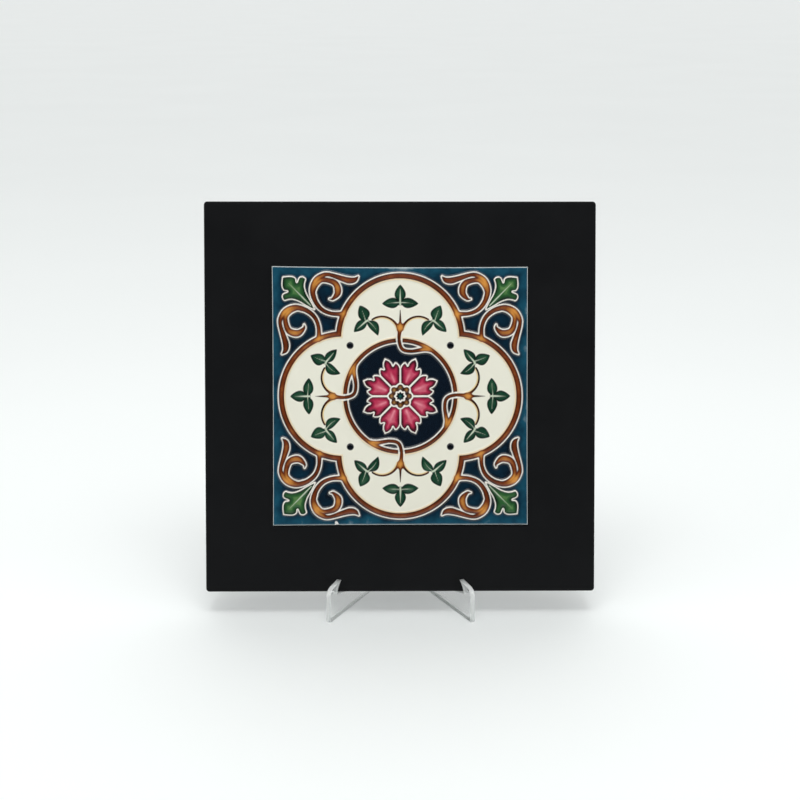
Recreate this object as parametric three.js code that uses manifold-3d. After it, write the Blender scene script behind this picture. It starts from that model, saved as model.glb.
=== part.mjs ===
// A glazed relief tile set in a square black board, standing on a clear easel of two slotted panels.
// Millimetres and degrees. +Z is up, the face looks along -Y, and the origin is on the table, under the middle.
import * as THREE from "three";
import { mergeVertices } from "three/addons/utils/BufferGeometryUtils.js";
import Module from "manifold-3d";

// The board
const BOARD_SIDE = 234;
const BOARD_THICKNESS = 15;
const BOARD_CORNER_RADIUS = 2;
const BOARD_ARRIS = 0.6;
const LEAN = 14.7;
const POCKET_DEPTH = 6.5;

// The tile: its clay body up to the blue ground, and the heights of the relief above that ground
const TILE_WIDTH = 152.4;
const TILE_HEIGHT = 154.2;
const TILE_BODY = 7.5;
const TILE_ARRIS = 0.8;
const TILE_RISE = 0.6; // the tile sits this much above the board's middle
const GAP = 0.3; // between pieces that touch
const FIELD_HEIGHT = 0.5; // the cream quatrefoil
const STRAP_HEIGHT = 1.1; // bands, scrolls and petals
const STRAP_SLOPE = 0.5; // how far a strap's side leans in from foot to top
const CELL_DEPTH = 0.5; // leaves and petals are sunk this far inside their outlines
const TENDRIL_HEIGHT = 0.4;
const ROOT = 1; // how deep a raised form is rooted in the clay under it
const RIDGE = 1; // the pale ridge along each side of a band

// The pattern, measured from its own middle, 0.2 above the tile's
const PATTERN_RISE = 0.2;
const PATTERN_SQUEEZE = 0.989; // its width against its height
const LOBE_OFFSET = 34.6;
const LOBE_RADIUS = 37.15;
const LOBE_BAND = 1.55; // half the width of the brown band, as in every band below
const RING_RADIUS = 33.4;
const RING_BAND = 1.2;
const DOT_OFFSET = 30.3;
const DOT_RADIUS = 2;

// A branch leaves the ring, doubles back beside it and crosses over it. Each row is x, y and half the width.
const BRANCH = [
  [17.6, 27.6, 1.0],
  [14.0, 27.9, 1.1],
  [6.5, 26.85, 0.95],
  [1.2, 28.2, 0.95],
  [-0.7, 33.8, 0.95],
  [0.0, 42.0, 1.4],
];

// A corner scroll: its stem leaves a lobe, turns almost a full circle and ends in a flame-shaped leaf
const SCROLL = [
  [33.9, 49.0, 1.3],
  [41.5, 49.3, 1.05],
  [47.3, 51.8, 1.15],
  [51.2, 56.8, 1.3],
  [52.8, 63.0, 1.45],
  [50.9, 68.4, 1.6],
  [47.0, 71.5, 1.4],
  [42.8, 72.3, 1.05],
  [34.6, 69.9, 1.5],
  [30.6, 68.9, 1.75],
  [27.4, 69.3, 1.3],
  [25.2, 71.3, 0.1],
];

// The scroll's inner curl
const CURL = [
  [51.0, 67.0, 1.3],
  [46.6, 69.3, 1.3],
  [39.3, 67.4, 1.65],
  [37.5, 62.0, 1.85],
  [40.4, 58.1, 0.75],
  [42.6, 57.9, 0.1],
];

// A tendril on each side of a lobe's axis is an arc, and a straight spike stands between the two
const TENDRIL_CENTRE = [11, 37.3];
const TENDRIL_RADIUS = 10.3;
const TENDRIL_ARC = [175, 55];
const TENDRIL_HALF = 0.5;
const SPIKE = [
  [0, 41, 1.2],
  [0, 44, 0.75],
  [0, 51.5, 0.2],
];

// Leaves of the trefoils: base, tip, half-width to the left and to the right, and how far the middle bends left
const SIDE_LEAVES = [
  [[21.0, 45.4], [24.4, 54.2], 3.9, 3.3, 0.2],
  [[20.6, 44.9], [28.0, 38.3], 3.0, 2.8, 0.1],
  [[19.5, 44.8], [13.4, 36.1], 2.6, 3.1, -1.1],
  [[0.6, 56.0], [11.0, 55.2], 3.1, 3.2, 0],
];
const AXIS_LEAF = [[0, 57.0], [0, 66.6], 3.4, 3.4, 0];
const LEAF_FULLNESS = 0.72; // below 1 the widest place moves towards the base
const LEAF_ROUNDNESS = 0.8; // below 1 the sides bulge more

// Half of a corner leaf: distance back from its tip along the diagonal, and distance from the diagonal
const CORNER_LEAF_TIP = 100.2;
const CORNER_LEAF = [
  [0, 0],
  [4.6, 4.5],
  [6.2, 5.3],
  [7.9, 4.1],
  [7.2, 7.2],
  [8.6, 9.2],
  [10.9, 9.3],
  [12.2, 7.0],
  [15.0, 4.5],
  [18.3, 3.0],
  [23.5, 1.4],
  [27.5, 0.4],
];

// Half of a petal: distance from the middle along its axis, and distance from the axis
const PETALS = 8;
const PETAL = [
  [6.4, 2.8],
  [15.5, 6.6],
  [17.5, 6.5],
  [20.0, 4.7],
  [18.6, 2.9],
  [22.4, 2.1],
  [24.5, 0],
];
const ROSETTE_RADIUS = 7.3;
const ROSETTE_SCALLOP = 0.6;
const BEAD_CIRCLE = 5.3;
const BEAD_RADIUS = 1.65;
const BOSS_RADIUS = 2.1;
const BEAD_HEIGHT = 0.5;

// The easel's panels. u runs back along a panel from under the board's front edge, v runs up from the table.
const PANEL_THICKNESS = 3;
const PANEL_SPLAY = 28;
const PANEL_SPREAD = 37.2; // from the middle to each panel, at the board's front edge
const SEAT_HEIGHT = 15;
const SEAT_GAP = 0.5;
const REST_GAP = 1.2;
const FOOT_FRONT = -12.5;
const HOOK_TIP = [1.0, 22.4];
const HOOK_HOLLOW = [-3.2, 19.7]; // what the curve of its inner edge bends towards
const HOOK_SHOULDER = [-6.5, 21.4];
const HOOK_CROWN = [-12.5, 20.4]; // what the curve of its outer edge bends towards
const HOOK_FRONT_HEIGHT = 16.5;
const HOOK_THROAT = -4.2;
const REST_HEIGHT = 110;
const REST_WIDTH = 10;
const HEEL_BACK = 96;
const HEEL_HEIGHT = 30;
const HEEL_SWEEP = [66, 42]; // what the back edge bends towards above the heel
const WAIST_HEIGHT = 55; // and how low it stays upright under the top
const SLOT_CLEARANCE = 0.3;
const SLOT_HEIGHT = 24;

const BOARD_BLACK = { color: 0x1a1b1d, roughness: 0.35, metalness: 0 };
const GLAZED_CLAY = { color: 0xe4e2cf, roughness: 0.12, metalness: 0 };
const CLEAR_ACRYLIC = { color: 0xf4f7f7, roughness: 0.05, metalness: 0, transparent: true, opacity: 0.3 };

const ARC_STEPS = 12; // sections along one lobe
const RING_STEPS = 36;
const SPLINE_STEPS = 2; // sections between two points of a branch, scroll or curl
const LEAF_STEPS = 5; // points along one side of a leaf
const DOT_SIDES = 12;
const BEAD_SIDES = 8;
const SCALLOP_STEPS = 4; // points along one scallop of the rosette
const SHARPEST_CORNER = 0.5; // keeps a sharp tip from moving too far when an outline is drawn in
const CORNER_STEPS = 4; // along a rounded corner of the board
const PANEL_STEPS = 10; // along each curve of an easel panel

const radians = THREE.MathUtils.degToRad;
const wasm = await Module();
wasm.setup();

// A closed geometry as a solid that can be joined and cut, and back again
function solidOf(geometry) {
  const bare = new THREE.BufferGeometry();
  const loose = geometry.index ? geometry.toNonIndexed() : geometry;
  bare.setAttribute("position", loose.getAttribute("position"));
  const merged = mergeVertices(bare, 1e-4);
  return new wasm.Manifold(
    new wasm.Mesh({
      numProp: 3,
      vertProperties: new Float32Array(merged.getAttribute("position").array),
      triVerts: new Uint32Array(merged.index.array),
    }),
  );
}

function geometryOf(solid) {
  const mesh = solid.getMesh();
  const geometry = new THREE.BufferGeometry();
  geometry.setAttribute("position", new THREE.BufferAttribute(mesh.vertProperties, 3));
  geometry.setIndex(new THREE.BufferAttribute(mesh.triVerts, 1));
  geometry.computeVertexNormals();
  return geometry;
}

const joined = (solids) => solids.reduce((whole, next) => whole.add(next));

// A flat outline pushed up from one height to another
function prism(outline, low, high) {
  const points = outline.map(([x, y]) => new THREE.Vector2(x, y));
  if (THREE.ShapeUtils.isClockWise(points)) points.reverse();
  const geometry = new THREE.ExtrudeGeometry(new THREE.Shape(points), {
    depth: high - low,
    bevelEnabled: false,
  });
  return solidOf(geometry.translate(0, 0, low));
}

// A skin over cross-sections that all have the same number of points, closed at its ends or running round
function loft(sections, runsRound) {
  const around = sections[0].length;
  const count = sections.length;
  const spans = runsRound ? count : count - 1;
  const corner = (i, j) => (i % count) * around + (j % around);
  const index = [];
  for (let i = 0; i < spans; i++)
    for (let j = 0; j < around; j++) {
      index.push(corner(i, j), corner(i, j + 1), corner(i + 1, j));
      index.push(corner(i, j + 1), corner(i + 1, j + 1), corner(i + 1, j));
    }
  if (!runsRound)
    for (let j = 1; j < around - 1; j++) {
      index.push(corner(0, 0), corner(0, j + 1), corner(0, j));
      index.push(corner(count - 1, 0), corner(count - 1, j), corner(count - 1, j + 1));
    }
  const geometry = new THREE.BufferGeometry();
  geometry.setAttribute("position", new THREE.Float32BufferAttribute(sections.flat(2), 3));
  geometry.setIndex(index);
  return solidOf(geometry);
}

// A smooth path of [x, y, half-width] rows through the given rows
function smoothPath(rows, steps) {
  const points = rows.map((row) => new THREE.Vector3(...row));
  const curve = new THREE.CatmullRomCurve3(points, false, "catmullrom");
  return curve.getPoints((rows.length - 1) * steps).map((p) => [p.x, p.y, p.z]);
}

// The four corners of a strap across a path: its foot is wider than its top
function strapSection(x, y, across, half, top) {
  const slope = Math.min(STRAP_SLOPE, half / 2);
  const at = (offset, z) => [x + across[0] * offset, y + across[1] * offset, z];
  const foot = TILE_BODY - ROOT;
  return [at(-half, foot), at(half, foot), at(half - slope, top), at(slope - half, top)];
}

// A strap along a path, with the ridges on both sides of its band
function strap(path, ridge, top) {
  const sections = path.map(([x, y, half], i) => {
    const before = path[Math.max(i - 1, 0)];
    const after = path[Math.min(i + 1, path.length - 1)];
    const length = Math.hypot(after[0] - before[0], after[1] - before[1]);
    const across = [(before[1] - after[1]) / length, (after[0] - before[0]) / length];
    return strapSection(x, y, across, half + ridge, top);
  });
  return loft(sections, false);
}

// Where a circle about a lobe's middle meets the diagonal between two lobes, as an angle from the lobe's axis
function mitreAngle(radius) {
  const along = (LOBE_OFFSET + Math.sqrt(2 * radius * radius - LOBE_OFFSET * LOBE_OFFSET)) / 2;
  return Math.atan2(along, along - LOBE_OFFSET);
}

// The band of four lobes, mitred at the cusps
function lobeBand() {
  const half = LOBE_BAND + RIDGE;
  const rails = strapSection(0, 0, [1, 0], half, TILE_BODY + STRAP_HEIGHT).map(([offset, , z]) => [
    LOBE_RADIUS + offset,
    z,
  ]);
  const sections = [];
  for (let lobe = 0; lobe < 4; lobe++)
    for (let i = 0; i < ARC_STEPS; i++)
      sections.push(
        rails.map(([radius, z]) => {
          const swing = mitreAngle(radius) * (1 - (2 * i) / ARC_STEPS);
          const x = radius * Math.sin(swing);
          const y = LOBE_OFFSET + radius * Math.cos(swing);
          const turn = (lobe * Math.PI) / 2;
          return [x * Math.cos(turn) - y * Math.sin(turn), x * Math.sin(turn) + y * Math.cos(turn), z];
        }),
      );
  return loft(sections.map((section) => section.reverse()), true);
}

function ringBand() {
  const sections = [];
  for (let i = 0; i < RING_STEPS; i++) {
    const angle = (i / RING_STEPS) * 2 * Math.PI;
    const out = [Math.cos(angle), Math.sin(angle)];
    const [x, y] = out.map((part) => part * RING_RADIUS);
    sections.push(strapSection(x, y, out, RING_BAND + RIDGE, TILE_BODY + STRAP_HEIGHT).reverse());
  }
  return loft(sections, true);
}

// The cream field: four lobes with a round hole for the middle
function creamField() {
  const shape = new THREE.Shape();
  const reach = mitreAngle(LOBE_RADIUS);
  for (let lobe = 0; lobe < 4; lobe++) {
    const axis = (lobe * Math.PI) / 2;
    const middle = [LOBE_OFFSET * Math.cos(axis), LOBE_OFFSET * Math.sin(axis)];
    shape.absarc(...middle, LOBE_RADIUS, axis - reach, axis + reach);
  }
  shape.holes.push(new THREE.Path().absarc(0, 0, RING_RADIUS, 0, 2 * Math.PI, true));
  const geometry = new THREE.ExtrudeGeometry(shape, {
    depth: ROOT + FIELD_HEIGHT,
    bevelEnabled: false,
    curveSegments: ARC_STEPS,
  });
  return solidOf(geometry.translate(0, 0, TILE_BODY - ROOT));
}

// The outline of a leaf: two bulging sides that meet in a pointed tip
function leafOutline([base, tip, left, right, bend]) {
  const axis = [tip[0] - base[0], tip[1] - base[1]];
  const length = Math.hypot(...axis);
  const side = [-axis[1] / length, axis[0] / length];
  const at = (t, offset) => [0, 1].map((k) => base[k] + axis[k] * t + side[k] * offset);
  const width = (t) => Math.sin(Math.PI * t ** LEAF_FULLNESS) ** LEAF_ROUNDNESS;
  const bow = (t) => bend * 4 * t * (1 - t);
  const there = [];
  const back = [];
  for (let i = 1; i < LEAF_STEPS; i++) {
    const t = i / LEAF_STEPS;
    there.push(at(t, bow(t) + left * width(t)));
    back.unshift(at(t, bow(t) - right * width(t)));
  }
  return [base, ...there, tip, ...back];
}

// An outline drawn in from its own edge, each point along the line that halves its corner
function insetOutline(outline, distance) {
  return outline.map((point, i) => {
    const before = outline[(i + outline.length - 1) % outline.length];
    const after = outline[(i + 1) % outline.length];
    const normal = ([x0, y0], [x1, y1]) => {
      const length = Math.hypot(x1 - x0, y1 - y0);
      return [(y0 - y1) / length, (x1 - x0) / length];
    };
    const a = normal(before, point);
    const b = normal(point, after);
    const scale = distance / Math.max(1 + a[0] * b[0] + a[1] * b[1], SHARPEST_CORNER);
    return [point[0] + (a[0] + b[0]) * scale, point[1] + (a[1] + b[1]) * scale];
  });
}

// Both halves of an outline that is the same on both sides of its axis, running anticlockwise
function bothSides(half) {
  const other = half.filter(([, offset]) => offset > 0).map(([along, offset]) => [along, -offset]);
  const loop = [...half, ...other.reverse()];
  return THREE.ShapeUtils.isClockWise(loop.map(([x, y]) => new THREE.Vector2(x, y))) ? loop.reverse() : loop;
}

// A raised rim with a sunk middle, as around a petal or a corner leaf, with its axis turned to an angle.
// The sunk middle ends where the rims of both sides meet.
function rimmedCell(half, angle) {
  const top = TILE_BODY + STRAP_HEIGHT;
  const rim = bothSides(half);
  const cell = insetOutline(rim, RIDGE).filter(([, offset], i) => rim[i][1] === 0 || offset * rim[i][1] > 0);
  const place = ([along, offset]) => [
    along * Math.cos(angle) - offset * Math.sin(angle),
    along * Math.sin(angle) + offset * Math.cos(angle),
  ];
  const pad = prism(rim.map(place), TILE_BODY - ROOT, top);
  return pad.subtract(prism(cell.map(place), top - CELL_DEPTH, top + ROOT));
}

// The rosette in the flower's middle: a scalloped pad with a circle of beads and a boss
function rosette() {
  const outline = [];
  const points = PETALS * SCALLOP_STEPS;
  for (let i = 0; i < points; i++) {
    const angle = (i / points) * 2 * Math.PI;
    const radius = ROSETTE_RADIUS + ROSETTE_SCALLOP * Math.cos(PETALS * angle);
    outline.push([radius * Math.cos(angle), radius * Math.sin(angle)]);
  }
  const top = TILE_BODY + STRAP_HEIGHT;
  const pad = prism(outline, TILE_BODY - ROOT, top);
  const bead = (x, y, radius) =>
    solidOf(
      new THREE.SphereGeometry(radius, BEAD_SIDES, BEAD_SIDES / 2)
        .rotateX(Math.PI / 2)
        .scale(1, 1, BEAD_HEIGHT / radius)
        .translate(x, y, top - BEAD_HEIGHT / 4),
    );
  const beads = [bead(0, 0, BOSS_RADIUS)];
  for (let i = 0; i < PETALS; i++) {
    const angle = (i / PETALS) * 2 * Math.PI;
    beads.push(bead(BEAD_CIRCLE * Math.cos(angle), BEAD_CIRCLE * Math.sin(angle), BEAD_RADIUS));
  }
  return joined([pad, ...beads]);
}

// What one quarter of the pattern repeats: the given rows as they stand and mirrored, then turned by quarters
const mirrored = (rows) => rows.map(([x, ...rest]) => [-x, ...rest]);
const swapped = (rows) => rows.map(([x, y, ...rest]) => [y, x, ...rest]);
function turned(rows, quarters) {
  const cos = Math.round(Math.cos((quarters * Math.PI) / 2));
  const sin = Math.round(Math.sin((quarters * Math.PI) / 2));
  return rows.map(([x, y, ...rest]) => [x * cos - y * sin, x * sin + y * cos, ...rest]);
}

function circle(x, y, radius, steps) {
  const outline = [];
  for (let i = 0; i < steps; i++) {
    const angle = (i / steps) * 2 * Math.PI;
    outline.push([x + radius * Math.cos(angle), y + radius * Math.sin(angle)]);
  }
  return outline;
}

// The tile, lying on its back with its face up and the middle of its pattern at the origin
function tileSolid() {
  const top = TILE_BODY + STRAP_HEIGHT;
  const fieldTop = TILE_BODY + FIELD_HEIGHT;
  const raised = [];
  const sunk = [];
  const scroll = smoothPath(SCROLL, SPLINE_STEPS);
  const curl = smoothPath(CURL, SPLINE_STEPS);
  const branch = smoothPath(BRANCH, SPLINE_STEPS + 1);
  const cornerLeaf = CORNER_LEAF.map(([back, offset]) => [CORNER_LEAF_TIP - back, offset]);
  const tendril = [];
  const [arcFrom, arcTo] = TENDRIL_ARC.map(radians);
  for (let i = 0; i <= LEAF_STEPS; i++) {
    const angle = arcFrom + ((arcTo - arcFrom) * i) / LEAF_STEPS;
    tendril.push([
      TENDRIL_CENTRE[0] + TENDRIL_RADIUS * Math.cos(angle),
      TENDRIL_CENTRE[1] + TENDRIL_RADIUS * Math.sin(angle),
      TENDRIL_HALF,
    ]);
  }
  for (let quarter = 0; quarter < 4; quarter++) {
    for (const rows of [scroll, curl]) {
      raised.push(strap(turned(rows, quarter), RIDGE, top));
      raised.push(strap(turned(swapped(rows), quarter), RIDGE, top));
    }
    raised.push(strap(turned(branch, quarter), RIDGE, top));
    for (const rows of [tendril, mirrored(tendril), SPIKE])
      raised.push(strap(turned(rows, quarter), 0, fieldTop + TENDRIL_HEIGHT));
    raised.push(rimmedCell(cornerLeaf, ((quarter + 0.5) * Math.PI) / 2));
    const outlines = SIDE_LEAVES.map(leafOutline);
    const all = [...outlines, ...outlines.map(mirrored), leafOutline(AXIS_LEAF)];
    for (const outline of all) sunk.push(prism(turned(outline, quarter), fieldTop - CELL_DEPTH, top + ROOT));
    const [dot] = turned([[DOT_OFFSET, DOT_OFFSET]], quarter);
    sunk.push(prism(circle(...dot, DOT_RADIUS, DOT_SIDES), fieldTop - CELL_DEPTH, top + ROOT));
  }
  for (let i = 0; i < PETALS; i++) raised.push(rimmedCell(PETAL, ((i + 0.5) / PETALS) * 2 * Math.PI));
  const slab = new THREE.ExtrudeGeometry(
    new THREE.Shape(rectangle(TILE_WIDTH / PATTERN_SQUEEZE - 2 * TILE_ARRIS, TILE_HEIGHT - 2 * TILE_ARRIS)),
    { depth: TILE_BODY - 2 * TILE_ARRIS, bevelSize: TILE_ARRIS, bevelThickness: TILE_ARRIS, bevelSegments: 1 },
  ).translate(0, -PATTERN_RISE, TILE_ARRIS);
  const clay = joined([solidOf(slab), creamField(), lobeBand(), ringBand(), rosette(), ...raised]);
  const whole = clay.subtract(joined(sunk));
  return geometryOf(whole).scale(PATTERN_SQUEEZE, 1, 1);
}

function rectangle(width, height) {
  const [x, y] = [width / 2, height / 2];
  const corners = [[-x, -y], [x, -y], [x, y], [-x, y]];
  return corners.map((corner) => new THREE.Vector2(...corner));
}

// The board, lying on its back with the middle of its front edge at the origin and its face at z = 0
function boardSolid() {
  const inner = BOARD_SIDE / 2 - BOARD_ARRIS;
  const radius = BOARD_CORNER_RADIUS - BOARD_ARRIS;
  const flat = inner - radius;
  const shape = new THREE.Shape();
  for (let corner = 0; corner < 4; corner++) {
    const start = (corner * Math.PI) / 2;
    const [x, y] = [
      [flat, flat],
      [-flat, flat],
      [-flat, -flat],
      [flat, -flat],
    ][corner];
    shape.absarc(x, y, radius, start, start + Math.PI / 2);
  }
  const block = new THREE.ExtrudeGeometry(shape, {
    depth: BOARD_THICKNESS - 2 * BOARD_ARRIS,
    bevelSize: BOARD_ARRIS,
    bevelThickness: BOARD_ARRIS,
    bevelSegments: 1,
    curveSegments: CORNER_STEPS,
  }).translate(0, BOARD_SIDE / 2, BOARD_ARRIS - BOARD_THICKNESS);
  const pocket = new THREE.BoxGeometry(TILE_WIDTH + 2 * GAP, TILE_HEIGHT + 2 * GAP, 2 * POCKET_DEPTH);
  pocket.translate(0, BOARD_SIDE / 2 + TILE_RISE, 0);
  return geometryOf(solidOf(block).subtract(solidOf(pocket)));
}

// One panel of the easel, cut by the slot that takes the other one
function panelSolid(slotFromBelow) {
  const splay = radians(PANEL_SPLAY);
  const back = (depth) => depth / Math.cos(splay);
  const lean = radians(LEAN);
  const restFoot = back(BOARD_THICKNESS * Math.cos(lean)) + REST_GAP;
  const restFootHeight = SEAT_HEIGHT - BOARD_THICKNESS * Math.sin(lean);
  const restSlope = back(Math.tan(lean));
  const restAt = (v) => restFoot + (v - restFootHeight) * restSlope;
  const seatAt = (u) => SEAT_HEIGHT - SEAT_GAP - u * Math.cos(splay) * Math.tan(lean);
  const shape = new THREE.Shape();
  shape.moveTo(FOOT_FRONT, 0);
  shape.lineTo(HEEL_BACK, 0);
  shape.lineTo(HEEL_BACK, HEEL_HEIGHT);
  const topRadius = REST_WIDTH / 2;
  const topHeight = REST_HEIGHT - topRadius;
  const topMiddle = restAt(topHeight) + topRadius * Math.hypot(1, restSlope);
  shape.bezierCurveTo(...HEEL_SWEEP, topMiddle + topRadius, WAIST_HEIGHT, topMiddle + topRadius, topHeight);
  shape.absarc(topMiddle, topHeight, topRadius, 0, Math.PI - Math.atan(restSlope));
  shape.lineTo(restAt(seatAt(restFoot)), seatAt(restFoot));
  shape.lineTo(HOOK_THROAT, seatAt(HOOK_THROAT));
  shape.quadraticCurveTo(...HOOK_HOLLOW, ...HOOK_TIP);
  shape.lineTo(...HOOK_SHOULDER);
  shape.quadraticCurveTo(...HOOK_CROWN, FOOT_FRONT, HOOK_FRONT_HEIGHT);
  const panel = new THREE.ExtrudeGeometry(shape, {
    depth: PANEL_THICKNESS,
    bevelEnabled: false,
    curveSegments: PANEL_STEPS,
  }).translate(0, 0, -PANEL_THICKNESS / 2);
  const crossing = PANEL_SPREAD / Math.sin(splay);
  const oblique = PANEL_THICKNESS / Math.sin(2 * splay) + PANEL_THICKNESS / Math.tan(2 * splay);
  const slot = new THREE.BoxGeometry(oblique + 2 * SLOT_CLEARANCE, 2 * REST_HEIGHT, 2 * PANEL_THICKNESS);
  const slotEnd = SLOT_HEIGHT + (slotFromBelow ? SLOT_CLEARANCE : -SLOT_CLEARANCE) / 2;
  slot.translate(crossing, slotEnd + (slotFromBelow ? -REST_HEIGHT : REST_HEIGHT), 0);
  return geometryOf(solidOf(panel).subtract(solidOf(slot)));
}

function mesh(name, geometry, finish) {
  const made = new THREE.Mesh(geometry, new THREE.MeshStandardMaterial(finish));
  made.name = name;
  return made;
}

// The board and its tile lean back together, and the two panels stand under them
const leaning = new THREE.Group();
leaning.rotation.x = radians(90 - LEAN);
leaning.position.z = SEAT_HEIGHT;
leaning.add(mesh("frame_board", boardSolid(), BOARD_BLACK));
const tile = mesh("tile", tileSolid(), GLAZED_CLAY);
tile.position.set(0, BOARD_SIDE / 2 + TILE_RISE + PATTERN_RISE, GAP - POCKET_DEPTH);
leaning.add(tile);

const standing = new THREE.Group();
standing.add(leaning);
for (const side of [-1, 1]) {
  const name = side < 0 ? "easel_leg_left" : "easel_leg_right";
  const panel = mesh(name, panelSolid(side > 0), CLEAR_ACRYLIC);
  panel.position.x = side * PANEL_SPREAD;
  panel.rotation.set(Math.PI / 2, 0, Math.PI / 2 + side * radians(PANEL_SPLAY), "ZYX");
  standing.add(panel);
}

// The origin is under the middle of the whole
const box = new THREE.Box3().setFromObject(standing);
standing.position.y = -(box.min.y + box.max.y) / 2;
const object = new THREE.Group();
object.add(standing);

export default object;
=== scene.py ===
# %% [markdown]
# A framed relief tile on a clear easel
#
# The object is a pressed clay tile with coloured glazes, let into a square black board that leans on two
# slotted panels of clear acrylic. The solid model gives every size and place. This lesson makes the
# surfaces that the eye meets: the relief and its glazes, the satin paint and the clear plastic.

# %% Load the solid model
import math

import bpy
import numpy as np
from mathutils import Matrix


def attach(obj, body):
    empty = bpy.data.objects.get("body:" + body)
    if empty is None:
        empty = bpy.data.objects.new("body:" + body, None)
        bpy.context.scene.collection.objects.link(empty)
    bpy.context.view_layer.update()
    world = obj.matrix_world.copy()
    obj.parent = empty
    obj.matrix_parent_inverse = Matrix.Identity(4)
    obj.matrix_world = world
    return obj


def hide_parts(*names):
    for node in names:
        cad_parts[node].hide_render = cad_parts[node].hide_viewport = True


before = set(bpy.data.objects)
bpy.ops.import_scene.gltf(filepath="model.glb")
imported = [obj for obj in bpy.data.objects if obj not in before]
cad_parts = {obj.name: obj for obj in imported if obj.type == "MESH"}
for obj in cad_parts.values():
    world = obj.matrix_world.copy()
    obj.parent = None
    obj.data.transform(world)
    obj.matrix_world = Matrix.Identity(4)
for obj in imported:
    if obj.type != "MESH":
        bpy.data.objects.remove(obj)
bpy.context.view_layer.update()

# %% [markdown]
# Where the board is
#
# The board and its tile lean back together, so their shapes are easier to work out flat, in millimetres:
# x to the right, y up the board and z out of its face, from the middle of the face. One function then
# stands the flat points up in the room. The board's and the tile's sizes are read from the solids along
# these directions.

# %% Directions of the board
MM = 0.001
LEAN = math.radians(14.7)
BOARD_AXES = np.array([
    [1.0, 0.0, 0.0],
    [0.0, math.sin(LEAN), math.cos(LEAN)],
    [0.0, -math.cos(LEAN), math.sin(LEAN)],
])


def along_board(node):
    """Lowest and highest place of a solid along the board's three directions, in mm: the dot products of its
    vertices with the directions."""
    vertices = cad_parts[node].data.vertices
    places = np.empty(len(vertices) * 3)
    vertices.foreach_get("co", places)
    turned = places.reshape(-1, 3) @ BOARD_AXES.T / MM
    return turned.min(0), turned.max(0)


board_low, board_high = along_board("frame_board")
tile_low, tile_high = along_board("tile")
board_half = (board_high - board_low)[:2] / 2
board_thickness = (board_high - board_low)[2]
face_middle = np.array([*(board_low + board_high)[:2] / 2, board_high[2]])
tile_half = (tile_high - tile_low)[:2] / 2
tile_middle = (tile_low + tile_high)[:2] / 2 - face_middle[:2]
tile_back = tile_low[2] - face_middle[2]


def stand(points):
    """Flat points in mm become places in the room in metres: the three directions, each times its
    coordinate."""
    return (points + face_middle) @ BOARD_AXES * MM


print("board", (2 * board_half).round(1), "mm, thick", board_thickness.round(1), "mm")
print("tile", (2 * tile_half).round(1), "mm")

# %% [markdown]
# Camera
#
# The picture was taken from a little above, with the lens almost square to the leaning face, so the board
# looks nearly square. Place and angles follow from where the board's four corners lie in the picture,
# taking a lens that sees about 32 degrees.

# %% Place the camera
LENS_MM = 63.0
SENSOR_MM = 36.0
CAMERA_PLACE = (-0.0091, -0.8105, 0.3718)
CAMERA_DOWN = math.radians(16.975)
CAMERA_RIGHT = math.radians(0.637)
CAMERA_ROLL = math.radians(0.112)

camera = bpy.data.objects.new("camera", bpy.data.cameras.new("camera"))
camera.data.lens = LENS_MM
camera.data.sensor_width = SENSOR_MM
camera.data.clip_end = 200
aim = Matrix.Rotation(-CAMERA_RIGHT, 4, "Z") @ Matrix.Rotation(math.pi / 2 - CAMERA_DOWN, 4, "X")
camera.matrix_world = Matrix.Translation(CAMERA_PLACE) @ aim @ Matrix.Rotation(CAMERA_ROLL, 4, "Z")
bpy.context.scene.collection.objects.link(camera)
bpy.context.scene.camera = camera
print("camera at", [round(v, 3) for v in camera.location])

# %% [markdown]
# Two small helpers for materials
#
# Colours are written as the hex values that a picture shows. Blender mixes light in linear numbers, so
# one function changes hex to linear. Another adds a node, sets its options and fills its sockets, from
# another node's output or with a plain value.


# %% Colour and node helpers
def linear(hex_code):
    """sRGB hex to linear RGBA: each channel c becomes c / 12.92 below 0.04045, else
    ((c + 0.055) / 1.055)^2.4."""
    channels = np.array([int(hex_code[i:i + 2], 16) for i in (1, 3, 5)]) / 255
    bent = np.where(channels <= 0.04045, channels / 12.92, ((channels + 0.055) / 1.055) ** 2.4)
    return (*bent.tolist(), 1.0)


def node(tree, kind, sockets=None, **settings):
    """Adds one node to a tree. settings are its options, and sockets maps a socket to an output or to a
    value."""
    made = tree.nodes.new("ShaderNode" + kind)
    for name, value in settings.items():
        setattr(made, name, value)
    for key, value in (sockets or {}).items():
        if isinstance(value, bpy.types.NodeSocket):
            tree.links.new(value, made.inputs[key])
        else:
            made.inputs[key].default_value = value
    return made


def new_material(name, sockets):
    """A material with one Principled shader, whose plain values are in sockets. Returns the material, its
    tree and the shader."""
    material = bpy.data.materials.new(name)
    material.use_nodes = True
    shader = material.node_tree.nodes["Principled BSDF"]
    for key, value in sockets.items():
        shader.inputs[key].default_value = value
    return material, material.node_tree, shader


PER_MM = 1 / MM
print("cream", [round(v, 3) for v in linear("#e6e4d2")])

# %% [markdown]
# Floor and light
#
# The object stands on white paper that runs back out of sight. The light is soft and comes from above and
# from the sides. The side behind the camera is dark, because the black paint shows almost no reflection
# there: that is done with a sky that is white all round, brighter behind the object, and fades to dark
# low in front.

# %% White paper floor
FLOOR_REACH = 60.0

paper, tree, shader = new_material("white paper", {"Roughness": 0.7, "Specular IOR Level": 0.2})
where = node(tree, "TexCoord").outputs["Object"]
grain = node(tree, "TexNoise", {"Vector": where, "Scale": PER_MM / 400, "Detail": 2.0})
whites = {6: linear("#f0f4f3"), 7: linear("#f4f8f7")}
tint = node(tree, "Mix", {0: grain.outputs["Fac"], **whites}, data_type="RGBA")
tree.links.new(tint.outputs[2], shader.inputs["Base Color"])

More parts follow.
